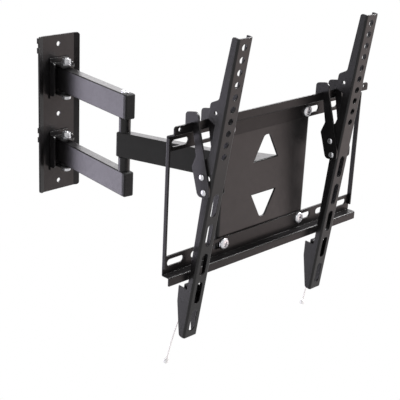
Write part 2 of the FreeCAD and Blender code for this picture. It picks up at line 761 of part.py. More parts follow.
def rail_frame():
    body = new_body("rail_frame")
    half = "rail_length / 2"
    rail_back = "-head_offset - centre_sheet"
    rail_front = "-head_offset - centre_sheet - frame_sheet"
    lip_front = rail_front + " - lip_reach"
    lip_back = lip_front + " + frame_sheet"
    top = "top_shelf_level"
    bottom = "-bottom_shelf_level"
    slope = "((top_shelf_level - rail_top_level) / lip_reach)"
    thick = "frame_sheet * (sqrt(1 + %s * %s)" % (slope, slope)
    web_back = "rail_top_level + %s - %s)" % (thick, slope)
    web_front = "top_shelf_level + %s - %s)" % (thick, slope)
    profiles = [
        [(rail_back, "rail_inner_edge"), (rail_back, web_back), (lip_back, web_front),
         (lip_back, top + " + lip_height"), (lip_front, top + " + lip_height"), (lip_front, top),
         (rail_front, "rail_top_level"), (rail_front, "rail_inner_edge")],
        [(rail_back, "-rail_inner_edge"), (rail_back, bottom + " - frame_sheet"),
         (lip_back, bottom + " - frame_sheet"), (lip_back, bottom + " - lip_height"),
         (lip_front, bottom + " - lip_height"), (lip_front, bottom), (rail_front, bottom),
         (rail_front, "-rail_inner_edge")],
    ]
    # side flanges first, so that the sheet stays in one piece
    sketch = new_sketch(body, "XY_Plane", "-side_flange_bottom")
    flange_front = rail_front + " - side_flange_reach"
    for side in (-1, 1):
        outer = "%d * %s" % (side, half)
        inner = "%d * (%s - frame_sheet)" % (side, half)
        draw_polygon(sketch, [(outer, rail_back), (inner, rail_back),
                              (inner, flange_front), (outer, flange_front)])
    pad(body, sketch, "side_flange_bottom + side_flange_top")
    for profile in profiles:
        sketch = new_sketch(body, "YZ_Plane")
        draw_polygon(sketch, profile)
        pad(body, sketch, "rail_length", both=True)
    lip_y = -VALUE["head_offset"] - VALUE["centre_sheet"] - VALUE["frame_sheet"] - VALUE["lip_reach"]
    lip_high = VALUE["top_shelf_level"] + VALUE["lip_height"]
    reach = VALUE["rail_length"] / 2
    round_edges(body, "lip_corner", lambda edge: runs_along(edge, 1)
                and abs(abs(edge.CenterOfMass.x) - reach) < 0.01
                and abs(edge.CenterOfMass.z - lip_high) < 0.01)
    back_y = -VALUE["head_offset"] - VALUE["centre_sheet"]
    round_edges(body, "fold_radius", lambda edge: runs_along(edge, 0) and edge.Length > reach
                and (lies_at(edge, y=lip_y, z=VALUE["top_shelf_level"])
                     or lies_at(edge, y=lip_y, z=-VALUE["bottom_shelf_level"])
                     or (lies_at(edge, y=back_y) and abs(edge.CenterOfMass.z) > VALUE["rail_top_level"])))
    round_edges(body, "fold_radius", lambda edge: runs_along(edge, 2) and lies_at(edge, y=back_y)
                and abs(abs(edge.CenterOfMass.x) - reach) < 0.01)
    # slots along both rails
    for side in (-1, 1):
        for level in (-1, 1):
            for step in range(FRAME_SLOTS):
                sketch = new_sketch(body, "XZ_Plane", "head_offset + centre_sheet")
                draw_slot(sketch, "%d * (frame_slot_first + %d * frame_slot_pitch)" % (side, step),
                          "%d * frame_slot_level" % level, "frame_slot_length", "frame_slot_width")
                pocket(body, sketch, "frame_sheet * 4")
    sketch = new_sketch(body, "XZ_Plane", "-(%s)" % lip_front)
    for side in (-1, 1):
        draw_circle(sketch, "%d * (%s - lip_hole_inset)" % (side, half),
                    "top_shelf_level + frame_sheet / 2 + lip_height / 2", "lip_hole_dia")
    pocket(body, sketch, "frame_sheet * 4")
    place(body, HEAD_X + " + frame_shift", HEAD_Y)
    keep(body, "rail_frame")


# Frame screws: low domed heads with a crossed recess, nuts behind the centre plate

def frame_screws():
    screws = []
    nuts = []
    for side in (-1, 1):
        for level in (-1, 1):
            name = "screw_%d_%d" % (side + 1, level + 1)
            x = "%s + %d * screw_spread / 2" % (HEAD_X, side)
            z = "%d * frame_slot_level" % level
            shank = cylinder(name + "_shank", "screw_dia / 2",
                             "frame_sheet + centre_sheet + screw_nut_height + bolt_proud",
                             x, RAIL_FRONT, z, (1, 0, 0), "-90")
            disc = cylinder(name + "_disc", "screw_head_dia / 2", "screw_head_height",
                            x, RAIL_FRONT, z, (1, 0, 0), "90")
            dome = domed(name + "_dome", disc, "screw_dome")
            top = RAIL_FRONT + " - screw_head_height"
            slits = [box(name + "_slit_a", "recess_width", "recess_depth", "recess_slit",
                         x + " - recess_width / 2", top, z + " - recess_slit / 2"),
                     box(name + "_slit_b", "recess_slit", "recess_depth", "recess_width",
                         x + " - recess_slit / 2", top, z + " - recess_width / 2")]
            screws.append(cut(name, fuse(name + "_blank", [shank, dome]), fuse(name + "_cross", slits)))
            blank = hexagon(name + "_nut_blank", "screw_nut_flats", "screw_nut_height")
            place(blank, x, CENTRE_BACK, z, (1, 0, 0), "-90")
            bore = cylinder(name + "_nut_bore", "screw_dia / 2", "screw_nut_height",
                            x, CENTRE_BACK, z, (1, 0, 0), "-90")
            nuts.append(cut(name + "_nut", blank, bore))
    keep(group("frame_screws", screws), "frame_screws")
    keep(group("frame_nuts", nuts), "frame_nuts")


# Hook plate: outline in the Y-Z plane about the tilt pivot, hung over the top lip

def hook_plate(name, position, side):
    body = new_body(name)
    top = "pivot_below"
    rear = "pivot_ahead"
    slot_front = "%s - hook_clearance" % rear
    slot_back = "%s + frame_sheet + hook_clearance" % rear
    stem_y = "%s - stem_lean" % rear
    corners = [
        ("%s + hook_rear" % rear, "%s - hook_tongue" % top),
        ("%s + hook_rear" % rear, "%s + hook_rise" % top),
        ("%s - hook_front" % rear, "%s + hook_rise + hook_crown" % top),
        ("%s - hook_front" % rear, "%s + hook_clearance" % top),
        ("%s - stem_width" % stem_y, "%s - stem_drop" % top),
        ("-hook_foot_front", "hook_foot_drop"),
        ("-hook_foot_front", "-hook_foot_drop"),
        ("hook_foot_rear", "-hook_foot_drop"),
        ("bulge_reach - bulge_taper", "%s - bulge_drop - bulge_height" % top),
        ("bulge_reach", "%s - bulge_drop" % top),
        ("%s + stem_knee" % stem_y, "%s - stem_drop" % top),
        (slot_front, "%s - lip_height" % top),
        (slot_front, top),
        (slot_back, top),
        (slot_back, "%s - hook_tongue" % top),
    ]
    sketch = new_sketch(body, "YZ_Plane")
    draw_polygon(sketch, corners)
    pad(body, sketch, "hook_sheet", both=True)
    high = VALUE["pivot_below"] + VALUE["hook_rise"]
    crown = high + VALUE["hook_crown"]
    round_edges(body, "hook_rear_round", lambda edge: runs_along(edge, 0)
                and abs(edge.CenterOfMass.z - high) < 0.01)
    round_edges(body, "hook_front_round", lambda edge: runs_along(edge, 0)
                and abs(edge.CenterOfMass.z - crown) < 0.01)
    low = -VALUE["hook_foot_drop"]
    round_edges(body, "hook_foot_round", lambda edge: runs_along(edge, 0)
                and abs(edge.CenterOfMass.z - low) < 0.01)
    bulge = VALUE["pivot_below"] - VALUE["bulge_drop"]
    knee = VALUE["pivot_below"] - VALUE["stem_drop"]
    levels = (bulge, bulge - VALUE["bulge_height"], knee)
    round_edges(body, "channel_bend", lambda edge: runs_along(edge, 0) and edge.CenterOfMass.y > 0
                and any(abs(edge.CenterOfMass.z - level) < 0.01 for level in levels))
    sketch = new_sketch(body, "YZ_Plane")
    draw_circle(sketch, "0", "0", "rivet_dia")
    draw_circle(sketch, GUIDE_Y, GUIDE_Z, "rivet_dia")
    pocket(body, sketch, "hook_sheet * 4")
    x = "%s + %d * (channel_width / 2 + hook_gap + hook_sheet / 2)" % (position, side)
    place(body, x, TILT_Y, TILT_Z)
    return body


# The guide rivet stands on the hook plates, above and behind the tilt pivot

GUIDE_Y = "guide_radius * sin(guide_angle)"
GUIDE_Z = "guide_radius * cos(guide_angle)"


def rivet(name, position, side, y, z):
    """A rivet from outside a hook plate to inside the channel flange."""
    outside = "%s + %d * (channel_width / 2 + hook_gap + hook_sheet)" % (position, side)
    inside = "%s + %d * (channel_width / 2 - channel_sheet - hook_gap)" % (position, side)
    turn = "90" if side > 0 else "-90"
    grip = "hook_sheet + 2 * hook_gap + channel_sheet"
    shank = cylinder(name + "_shank", "rivet_dia / 2", grip, inside, y, z, (0, 1, 0), turn)
    disc = cylinder(name + "_disc", "rivet_head_dia / 2", "rivet_head_height",
                    outside, y, z, (0, 1, 0), turn)
    head = domed(name + "_head", disc, "rivet_dome")
    tail = cylinder(name + "_tail", "rivet_head_dia / 2", "rivet_head_height",
                    inside, y, z, (0, 1, 0), "-90" if side > 0 else "90")
    return fuse(name, [shank, head, tail])


def hanger(side_name, position):
    for name, side in (("outer", -1), ("inner", 1)):
        facing = side if side_name == "left" else -side
        label = "%s_hook_%s" % (side_name, name)
        keep(hook_plate(label, position, facing), label)
    guide_y = "%s + %s" % (TILT_Y, GUIDE_Y)
    guide_z = "%s + %s" % (TILT_Z, GUIDE_Z)
    pivots = []
    guides = []
    for side in (-1, 1):
        pivots.append(rivet("%s_pivot_rivet_%d" % (side_name, side + 1), position, side, TILT_Y, TILT_Z))
        guides.append(rivet("%s_guide_rivet_%d" % (side_name, side + 1), position, side, guide_y, guide_z))
    keep(group(side_name + "_pivot_rivets", pivots), side_name + "_pivot_rivets")
    keep(group(side_name + "_guide_rivets", guides), side_name + "_guide_rivets")


# Screen channel about the tilt pivot: y is depth behind the pivot, z is height above it

CHANNEL_TOP = "channel_length - pivot_from_end"
FIN_START = "channel_length - fin_length"
LATCH_PIN = "channel_length - latch_pin_rise"
LATCH_NOSE = "channel_length - latch_nose_rise"
LATCH_TAIL = "channel_length - latch_tail_rise"


def deep(text):
    return "%s - pivot_depth" % text


def down(text):
    return CHANNEL_TOP + " - (%s)" % text


def guide_slot(body):
    """Curved slot for the guide rivet, about the tilt pivot, through both flanges."""
    sketch = new_sketch(body, "YZ_Plane")
    middle = VALUE["guide_radius"]
    half = VALUE["rivet_dia"] / 2 + VALUE["rivet_clearance"] * 3
    forward = max(VALUE["left_tilt"], VALUE["right_tilt"]) + VALUE["guide_play"]
    first = VALUE["guide_angle"] + forward
    angles = [math.radians(first), math.radians(first - VALUE["guide_travel"] - VALUE["guide_play"])]

    def spot(radius, angle):
        return FreeCAD.Vector(radius * math.sin(angle), radius * math.cos(angle), 0)

    between = sum(angles) / 2
    for radius in (middle + half, middle - half):
        arc = Part.Arc(spot(radius, angles[0]), spot(radius, between), spot(radius, angles[1]))
        sketch.addGeometry(arc)
    for angle, turn in ((angles[0], 1), (angles[1], -1)):
        centre = spot(middle, angle)
        along = FreeCAD.Vector(math.cos(angle), -math.sin(angle), 0) * (half * turn)
        sketch.addGeometry(Part.Arc(spot(middle + half, angle), centre + along, spot(middle - half, angle)))
    pocket(body, sketch, "channel_width * 2")


def screen_channel(name, position, tilt):
    body = new_body(name)
    front = "-pivot_depth"
    corners = [
        (front, down("0")),
        (deep("flange_top_depth"), down("0")),
        (deep("flange_top_depth + flange_swell"), "lobe_start"),
        (deep("lobe_depth"), "lobe_top"),
        (deep("lobe_depth"), "lobe_bottom"),
        (deep("flange_mid_depth"), "lobe_bottom - lobe_taper"),
        (deep("flange_mid_depth"), "guide_lobe_start"),
        (deep("guide_lobe_depth"), "guide_lobe_start - guide_lobe_taper"),
        (deep("guide_lobe_depth"), "guide_lobe_taper - guide_lobe_end"),
        (deep("flange_low_depth"), "-guide_lobe_end"),
        (deep("fin_root_depth"), down(FIN_START)),
        (deep("fin_depth"), down(FIN_START + " + fin_taper")),
        (deep("fin_shoulder_depth"), down("channel_length - fin_shoulder_rise")),
        (deep("fin_end_depth"), down("channel_length")),
        (front, down("channel_length")),
    ]
    sketch = new_sketch(body, "YZ_Plane")
    draw_polygon(sketch, corners)
    pad(body, sketch, "channel_width", both=True)
    depth = -VALUE["pivot_depth"]
    levels = [VALUE["channel_length"] - VALUE["pivot_from_end"], -VALUE["pivot_from_end"],
              VALUE["lobe_bottom"],
              VALUE["guide_lobe_start"] - VALUE["guide_lobe_taper"],
              VALUE["guide_lobe_taper"] - VALUE["guide_lobe_end"]]
    lobe_levels = [VALUE["lobe_start"], VALUE["lobe_top"]]
    round_edges(body, "lobe_round", lambda edge: runs_along(edge, 0) and edge.CenterOfMass.y > depth + 1
                and any(abs(edge.CenterOfMass.z - level) < 0.01 for level in lobe_levels))
    round_edges(body, "flange_corner", lambda edge: runs_along(edge, 0) and edge.CenterOfMass.y > depth + 1
                and any(abs(edge.CenterOfMass.z - level) < 0.01 for level in levels))
    sketch = new_sketch(body, "YZ_Plane")
    back = deep("fin_depth + lobe_depth")
    draw_polygon(sketch, [(deep("channel_sheet"), CHANNEL_TOP + " + channel_width"),
                          (back, CHANNEL_TOP + " + channel_width"),
                          (back, down("channel_length + channel_width")),
                          (deep("channel_sheet"), down("channel_length + channel_width"))])
    pocket(body, sketch, "channel_width - 2 * channel_sheet")
    sketch = new_sketch(body, "YZ_Plane", "channel_width / 2")
    draw_polygon(sketch, [(deep("far_flange_depth"), CHANNEL_TOP + " + channel_width"),
                          (deep("lobe_depth"), CHANNEL_TOP + " + channel_width"),
                          (deep("lobe_depth"), "lobe_start + far_flange_step"),
                          (deep("far_flange_depth"), "lobe_start + 2 * far_flange_step")])
    pocket(body, sketch, "channel_sheet * 4")
    half = VALUE["channel_width"] / 2
    round_edges(body, "channel_bend", lambda edge: runs_along(edge, 2) and edge.CenterOfMass.y < depth + 0.01
                and abs(abs(edge.CenterOfMass.x) - half) < 0.01)
    sketch = new_sketch(body, "XZ_Plane", "pivot_depth")
    draw_circle(sketch, "0", down("vesa_hole_first"), "vesa_hole_dia")
    hole = pocket(body, sketch, "channel_sheet * 4")
    repeat(body, hole, "Z_Axis", "vesa_hole_pitch * %d" % (VESA_HOLES - 1), VESA_HOLES)
    sketch = new_sketch(body, "XZ_Plane", "pivot_depth")
    slot_row = "vesa_slot_pitch * %d" % (VESA_SLOTS - 1)
    first = down("channel_length - vesa_slot_last - " + slot_row)
    draw_slot(sketch, "0", first, "vesa_slot_length", "vesa_slot_width", upright=True)
    slot = pocket(body, sketch, "channel_sheet * 4")
    repeat(body, slot, "Z_Axis", slot_row, VESA_SLOTS)
    sketch = new_sketch(body, "YZ_Plane")
    draw_circle(sketch, "0", "0", "rivet_dia + 2 * rivet_clearance")
    draw_circle(sketch, deep("lobe_hole_depth"), "lobe_hole_level", "lobe_hole_dia")
    draw_circle(sketch, deep("latch_pin_depth"), down(LATCH_PIN), "latch_pin_dia")
    pocket(body, sketch, "channel_width * 2")
    guide_slot(body)
    place(body, position, TILT_Y, TILT_Z, (1, 0, 0), tilt)
    keep(body, name)


# Spring latch under the lower lip: a lever on a cross pin, with the pull cord on its tail

def latch(side_name, position, tilt):
    body = new_body(side_name + "_latch")
    sketch = new_sketch(body, "YZ_Plane")
    axis = deep("latch_pin_depth")
    draw_polygon(sketch, [
        ("%s + latch_body / 2 - latch_nose_width" % axis, down(LATCH_NOSE)),
        ("%s + latch_body / 2" % axis, down(LATCH_NOSE)),
        ("%s + latch_body / 2" % axis, down(LATCH_PIN + " + latch_body / 2")),
        ("%s + latch_nose_width / 2" % axis, down(LATCH_TAIL)),
        ("%s - latch_nose_width / 2" % axis, down(LATCH_TAIL)),
        ("%s - latch_body / 2" % axis, down(LATCH_PIN + " + latch_body / 2")),
        ("%s - latch_body / 2" % axis, down(LATCH_PIN + " - latch_body")),
    ])
    pad(body, sketch, "latch_width", both=True)
    nose = VALUE["latch_nose_rise"] - VALUE["pivot_from_end"]
    round_edges(body, "latch_round", lambda edge: runs_along(edge, 0)
                and abs(edge.CenterOfMass.z - nose) < 0.01)
    sketch = new_sketch(body, "YZ_Plane")
    draw_circle(sketch, axis, down(LATCH_PIN), "latch_pin_dia + 2 * pivot_clearance")
    pocket(body, sketch, "latch_width * 2")
    place(body, position, TILT_Y, TILT_Z, (1, 0, 0), tilt)
    keep(body, side_name + "_latch")
    pin = new_body(side_name + "_latch_pin")
    sketch = new_sketch(pin, "YZ_Plane")
    draw_circle(sketch, axis, down(LATCH_PIN), "latch_pin_dia")
    pad(pin, sketch, "channel_width", both=True)
    place(pin, position, TILT_Y, TILT_Z, (1, 0, 0), tilt)
    keep(pin, side_name + "_latch_pin")


# Pull cords: route as (distance down the channel, depth), from the latch tail to the knob

CORD_ROUTES = {
    "left": [(412, 16.5), (432, 22), (468, 27), (503, 30.4)],
    "right": [(412, 16.5), (432, 19.5), (460, 21.5), (485, 22.8)],
}


def cord_points(side_name, side):
    """The route in the frame of the channel, with its start on the latch tail."""
    route = CORD_ROUTES[side_name]
    tail = VALUE["latch_tail_rise"] - VALUE["pivot_from_end"]
    return [FreeCAD.Vector(side * VALUE["cord_side"], depth - VALUE["pivot_depth"],
                           tail + route[0][0] - level) for level, depth in route]


def cord_and_knob(side_name, position, tilt, side):
    points = cord_points(side_name, side)
    edges = []
    start = points[0]
    radii = []
    for before, corner, after in zip(points, points[1:], points[2:]):
        arrive = (corner - before).normalize()
        leave = (after - corner).normalize()
        turn = arrive.getAngle(leave)
        reach = 0.45 * min((corner - before).Length, (after - corner).Length)
        radius = reach / math.tan(turn / 2)
        radii.append(round(radius, 1))
        into = corner - arrive * reach
        out = corner + leave * reach
        centre_way = (leave - arrive).normalize()
        centre = corner + centre_way * (radius / math.cos(turn / 2))
        middle = centre - centre_way * radius
        edges.append(Part.makeLine(start, into))
        edges.append(Part.Arc(into, middle, out).toShape())
        start = out
    edges.append(Part.makeLine(start, points[-1]))
    path = Part.Wire(edges)
    way = (points[1] - points[0]).normalize()
    ring_wire = Part.Wire([Part.makeCircle(VALUE["cord_dia"] / 2, points[0], way)])
    tube = path.makePipeShell([ring_wire], True, False)
    section = math.pi * VALUE["cord_dia"] ** 2 / 4
    print("%s cord bend radii %s mm, length %.1f mm, volume %.1f against %.1f mm3"
          % (side_name, radii, path.Length, tube.Volume, section * path.Length))
    cord = doc.addObject("Part::Feature", side_name + "_pull_cord")
    cord.Shape = tube
    place(cord, position, TILT_Y, TILT_Z, (1, 0, 0), tilt)
    keep(cord, side_name + "_pull_cord")
    last = (points[-1] - points[-2]).normalize()
    blank = Part.makeCylinder(VALUE["knob_dia"] / 2, VALUE["knob_length"], points[-1], last)
    rims = [edge for edge in blank.Edges if edge.Closed and edge.Curve.TypeId == "Part::GeomCircle"]
    knob = doc.addObject("Part::Feature", side_name + "_cord_knob")
    knob.Shape = blank.makeFillet(VALUE["knob_round"], rims)
    place(knob, position, TILT_Y, TILT_Z, (1, 0, 0), tilt)
    keep(knob, side_name + "_cord_knob")


# Build

wall_plate()
shoulder = {"bolts": [], "nuts": [], "washers": []}
for name, level in ARM_LEVELS:
    wall_clevis(name + "_clevis", level)
    shoulder["bolts"].append(pivot_bolt(name + "_shoulder_bolt", EAR_OUTER, "0", SHOULDER_Y, level))
    shoulder["nuts"].append(pivot_nut(name + "_shoulder_nut", EAR_OUTER, "0", SHOULDER_Y, level))
    shoulder["washers"] += pivot_washers(name + "_shoulder_washer", EAR_OUTER, "0", SHOULDER_Y, level)
for name, items in shoulder.items():
    keep(group("shoulder_" + name, items), "shoulder_" + name)
first_arm()
second_arm()
centre_plate()
keep(pivot_bolt("head_bolt", HEAD_EAR_OUTER, HEAD_X, HEAD_Y, "0"), "head_bolt")
keep(pivot_nut("head_nut", HEAD_EAR_OUTER, HEAD_X, HEAD_Y, "0"), "head_nut")
head_washers = pivot_washers("head_washer", HEAD_EAR_OUTER, HEAD_X, HEAD_Y, "0")
keep(group("head_washers", head_washers), "head_washers")
rail_frame()
frame_screws()
for side_name, position, tilt, side in SIDES:
    hanger(side_name, position)
    screen_channel(side_name + "_channel", position, tilt)
    latch(side_name, position, tilt)
    cord_and_knob(side_name, position, tilt, side)
doc.recompute()

# Checks before anything is written

for item in doc.Objects:
    if "Invalid" in item.State or "Error" in item.State:
        raise RuntimeError("failed object: " + item.Name)
for item in finished:
    if item.Shape.isNull() or not item.Shape.isValid():
        raise RuntimeError("bad shape: " + item.Label)

for item in finished:
    item.Shape.exportStep("parts/%s.step" % item.Label)
print("%d pieces written" % len(finished))
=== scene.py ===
import json
import math

import bpy
from mathutils import Matrix, Vector


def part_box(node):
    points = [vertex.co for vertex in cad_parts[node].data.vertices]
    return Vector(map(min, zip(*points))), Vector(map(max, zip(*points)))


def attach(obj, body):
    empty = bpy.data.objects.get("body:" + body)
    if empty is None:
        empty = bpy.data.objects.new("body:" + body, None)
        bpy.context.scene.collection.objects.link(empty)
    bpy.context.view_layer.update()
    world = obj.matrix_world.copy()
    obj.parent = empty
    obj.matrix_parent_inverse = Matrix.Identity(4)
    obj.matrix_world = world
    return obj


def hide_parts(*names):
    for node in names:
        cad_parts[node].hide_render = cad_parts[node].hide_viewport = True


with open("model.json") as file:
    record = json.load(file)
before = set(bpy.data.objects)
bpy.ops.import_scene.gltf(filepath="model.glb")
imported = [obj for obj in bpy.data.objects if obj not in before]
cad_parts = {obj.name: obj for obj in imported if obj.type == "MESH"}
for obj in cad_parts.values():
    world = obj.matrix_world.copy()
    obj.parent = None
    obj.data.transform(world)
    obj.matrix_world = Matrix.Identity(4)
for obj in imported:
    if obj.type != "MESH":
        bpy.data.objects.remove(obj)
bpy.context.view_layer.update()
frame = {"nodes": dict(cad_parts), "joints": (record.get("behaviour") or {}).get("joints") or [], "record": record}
nodes = frame["nodes"]


# Materials

TEXTURE_RANGE = (0.3, 0.7)
COLOUR_STOPS = (0.32, 0.68)
NOISE_ROUGHNESS = 0.55
BEVEL_SAMPLES = 4


def new_material(name):
    material = bpy.data.materials.new(name)
    material.use_nodes = True
    tree = material.node_tree
    return material, tree, tree.nodes["Principled BSDF"]


def noise(tree, scale, detail):
    """Noise in the object's own metres."""
    place = tree.nodes.new("ShaderNodeTexCoord")
    node = tree.nodes.new("ShaderNodeTexNoise")
    node.inputs["Scale"].default_value = scale
    node.inputs["Detail"].default_value = detail
    node.inputs["Roughness"].default_value = NOISE_ROUGHNESS
    tree.links.new(place.outputs["Object"], node.inputs["Vector"])
    return node.outputs["Fac"]


def spread(tree, source, low, high):
    """Maps the middle of a texture's range to a range of numbers."""
    node = tree.nodes.new("ShaderNodeMapRange")
    node.inputs["From Min"].default_value = TEXTURE_RANGE[0]
    node.inputs["From Max"].default_value = TEXTURE_RANGE[1]
    node.inputs["To Min"].default_value = low
    node.inputs["To Max"].default_value = high
    tree.links.new(source, node.inputs["Value"])
    return node.outputs["Result"]


def blend(tree, source, dark, pale):
    """Maps the middle of a texture's range to a blend of two colours."""
    node = tree.nodes.new("ShaderNodeValToRGB")
    for stop, position, colour in zip(node.color_ramp.elements, COLOUR_STOPS, (dark, pale)):
        stop.position = position
        stop.color = (*colour, 1)
    tree.links.new(source, node.inputs["Fac"])
    return node.outputs["Color"]


def soft_edges(tree, shader, radius, height, strength, distance):
    """Rounds the light on sharp edges, and adds a fine surface relief."""
    bevel = tree.nodes.new("ShaderNodeBevel")
    bevel.samples = BEVEL_SAMPLES
    bevel.inputs["Radius"].default_value = radius
    bump = tree.nodes.new("ShaderNodeBump")
    bump.inputs["Strength"].default_value = strength
    bump.inputs["Distance"].default_value = distance
    tree.links.new(height, bump.inputs["Height"])
    tree.links.new(bevel.outputs["Normal"], bump.inputs["Normal"])
    tree.links.new(bump.outputs["Normal"], shader.inputs["Normal"])


def grained_material(name, colour_grain, dark, pale, rough_grain, smooth, rough):
    """A material whose colour and roughness vary with grains, each given by its scale and detail."""
    material, tree, shader = new_material(name)
    tree.links.new(blend(tree, noise(tree, *colour_grain), dark, pale), shader.inputs["Base Color"])
    tree.links.new(spread(tree, noise(tree, *rough_grain), smooth, rough), shader.inputs["Roughness"])
    return material, tree, shader


def powder_coat(name, specular):
    material, tree, shader = grained_material(
        name, (45, 4), (0.0050, 0.0046, 0.0049), (0.0090, 0.0083, 0.0088), (130, 6), 0.28, 0.36)
    shader.inputs["Specular IOR Level"].default_value = specular
    soft_edges(tree, shader, 0.0007, noise(tree, 900, 2), 0.12, 0.0003)
    return material


def moulded_black():
    material, tree, shader = grained_material(
        "moulded_black", (60, 4), (0.006, 0.006, 0.0065), (0.010, 0.010, 0.0105), (160, 5), 0.55, 0.65)
    shader.inputs["Specular IOR Level"].default_value = 0.25
    soft_edges(tree, shader, 0.0009, noise(tree, 1500, 3), 0.1, 0.0002)
    return material


def zinc_plate():
    material, tree, shader = grained_material(
        "zinc_plate", (140, 4), (0.50, 0.50, 0.52), (0.66, 0.66, 0.68), (420, 5), 0.3, 0.42)
    shader.inputs["Metallic"].default_value = 1.0
    soft_edges(tree, shader, 0.0005, noise(tree, 1100, 3), 0.08, 0.0002)
    return material


def braided_cord():
    material, tree, shader = grained_material(
        "braided_cord", (700, 3), (0.90, 0.87, 0.86), (0.96, 0.93, 0.92), (500, 4), 0.5, 0.7)
    shader.inputs["Specular IOR Level"].default_value = 0.2
    place = tree.nodes.new("ShaderNodeTexCoord")
    weave = tree.nodes.new("ShaderNodeTexWave")
    weave.wave_type = "BANDS"
    weave.bands_direction = "DIAGONAL"
    weave.inputs["Scale"].default_value = 320
    tree.links.new(place.outputs["Object"], weave.inputs["Vector"])
    soft_edges(tree, shader, 0.0002, weave.outputs["Fac"], 0.1, 0.0002)
    return material


def knob_plastic():
    material, tree, shader = grained_material(
        "knob_plastic", (200, 3), (0.90, 0.90, 0.90), (0.96, 0.96, 0.96), (300, 4), 0.3, 0.42)
    shader.inputs["Specular IOR Level"].default_value = 0.3
    soft_edges(tree, shader, 0.0005, noise(tree, 900, 4), 0.06, 0.0002)
    return material


COAT = powder_coat("powder_coat", 0.28)
# The rail frame gets a copy of the powder coat with weaker reflections, which darkens it as painted shade.
SHADED_RAIL_COAT = powder_coat("shaded_rail_powder_coat", 0.17)
PLASTIC = moulded_black()
ZINC = zinc_plate()
BRAID = braided_cord()
KNOB = knob_plastic()
BY_SLOT = {"black_coat": COAT, "black_plastic": PLASTIC, "zinc": ZINC, "cord": BRAID, "knob": KNOB}

for piece in frame["record"]["subparts"]:
    mesh = nodes[piece["node"]].data
    mesh.materials.clear()
    mesh.materials.append(SHADED_RAIL_COAT if piece["node"] == "rail_frame" else BY_SLOT[piece["material_slot"]])


# Fasteners with threads, chamfers and drive recesses, each built up from rings along its axis, in metres

RING_STEPS = 48
DOME_RINGS = 8
SMOOTH_ANGLE = math.radians(35)

CHAMFER = math.tan(math.radians(30))
CHAMFER_START = 0.95
THREAD_RINGS = 8
THREAD_DEPTH = 0.61
THREAD_STEEPNESS = 1.3
THREAD_RUN_OUT = 1.5

NUT_FLATS = 0.013
NUT_HEIGHT = 0.008
BOLT_RADIUS = 0.004
BOLT_LENGTH = 0.070
BOLT_HEAD = 0.0053
BOLT_PITCH = 0.00125
BOLT_THREAD = 0.022

SCREW_RADIUS = 0.003
SCREW_LENGTH = 0.017
SCREW_HEAD_RADIUS = 0.0085
SCREW_HEAD = 0.005
SCREW_RIM = 0.0015
SCREW_PITCH = 0.001
SCREW_THREAD = 0.010
SCREW_NUT_FLATS = 0.010
SCREW_NUT_HEIGHT = 0.005
SCREW_NUT_FROM_TIP = 0.0065

CROSS_LENGTH = 0.012
CROSS_WIDTH = 0.0031
CROSS_DEPTH = 0.0034
CROSS_LENGTH_TAPER = 0.55
CROSS_WIDTH_TAPER = 0.73
CROSS_FIRST_TURN = 0.5
CROSS_TURN_STEP = 0.9

RIVET_RADIUS = 0.003
RIVET_LENGTH = 0.0085
RIVET_HEAD_RADIUS = 0.0043
RIVET_HEAD = 0.0018
RIVET_RIM = 0.0003


def round_ring(radius, level):
    return [(radius, level)] * RING_STEPS


def hexagon_ring(flats, level, away, inner):
    """A ring around a hexagon, moved away at the corners by a chamfer that starts at the inner radius."""
    ring = []
    for step in range(RING_STEPS):
        from_flat = (step * 360 / RING_STEPS + 30) % 60 - 30
        radius = flats / 2 / math.cos(math.radians(from_flat))
        ring.append((radius, level + away * (radius - inner) * CHAMFER))
    return ring


def thread_rings(radius, pitch, start, end):
    """Rings of a right-hand thread from start to end, with a chamfered end."""
    depth = THREAD_DEPTH * pitch
    count = round((end - start) / pitch * THREAD_RINGS)
    rings = []
    for index in range(count + 1):
        level = start + (end - start) * index / count
        limit = radius - depth * max(0, 1 - (end - level) / (THREAD_RUN_OUT * pitch))
        ring = []
        for step in range(RING_STEPS):
            phase = (level / pitch - step / RING_STEPS) % 1
            cut = min(1, THREAD_STEEPNESS * (1 - abs(2 * phase - 1)))
            ring.append((min(radius - depth * cut, limit), level))
        rings.append(ring)
    return rings


def dome_rings(radius, height, rim):
    """A rounded head from its crown down to its flat underside."""
    rings = []
    for index in range(1, DOME_RINGS + 1):
        angle = math.pi / 2 * index / DOME_RINGS
        rings.append(round_ring(radius * math.sin(angle), (height - rim) * (1 - math.cos(angle))))
    rings.append(round_ring(radius, height))
    return rings


def bolt_rings():
    """Hexagon bolt with its head at the bottom."""
    inner = NUT_FLATS / 2 * CHAMFER_START
    head = [round_ring(inner, 0), hexagon_ring(NUT_FLATS, 0, 1, inner),
            hexagon_ring(NUT_FLATS, BOLT_HEAD, 0, inner), round_ring(BOLT_RADIUS, BOLT_HEAD)]
    return head + thread_rings(BOLT_RADIUS, BOLT_PITCH, BOLT_LENGTH - BOLT_THREAD, BOLT_LENGTH)


def nut_rings(flats, height, bore):
    """Hexagon nut, chamfered at both ends, as a loop of rings around its wall."""
    inner = flats / 2 * CHAMFER_START
    return [round_ring(bore, 0), round_ring(inner, 0), hexagon_ring(flats, 0, 1, inner),
            hexagon_ring(flats, height, -1, inner), round_ring(inner, height), round_ring(bore, height)]


def screw_rings():
    """Pan head screw with the crown of its head at the bottom."""
    head = dome_rings(SCREW_HEAD_RADIUS, SCREW_HEAD, SCREW_RIM) + [round_ring(SCREW_RADIUS, SCREW_HEAD)]
    return head + thread_rings(SCREW_RADIUS, SCREW_PITCH, SCREW_LENGTH - SCREW_THREAD, SCREW_LENGTH)


def rivet_rings():
    """Rivet with a rounded head at each end."""
    head = dome_rings(RIVET_HEAD_RADIUS, RIVET_HEAD, RIVET_RIM) + [round_ring(RIVET_RADIUS, RIVET_HEAD)]
    tail = [[(radius, RIVET_LENGTH - level) for radius, level in ring] for ring in reversed(head)]
    return head + tail


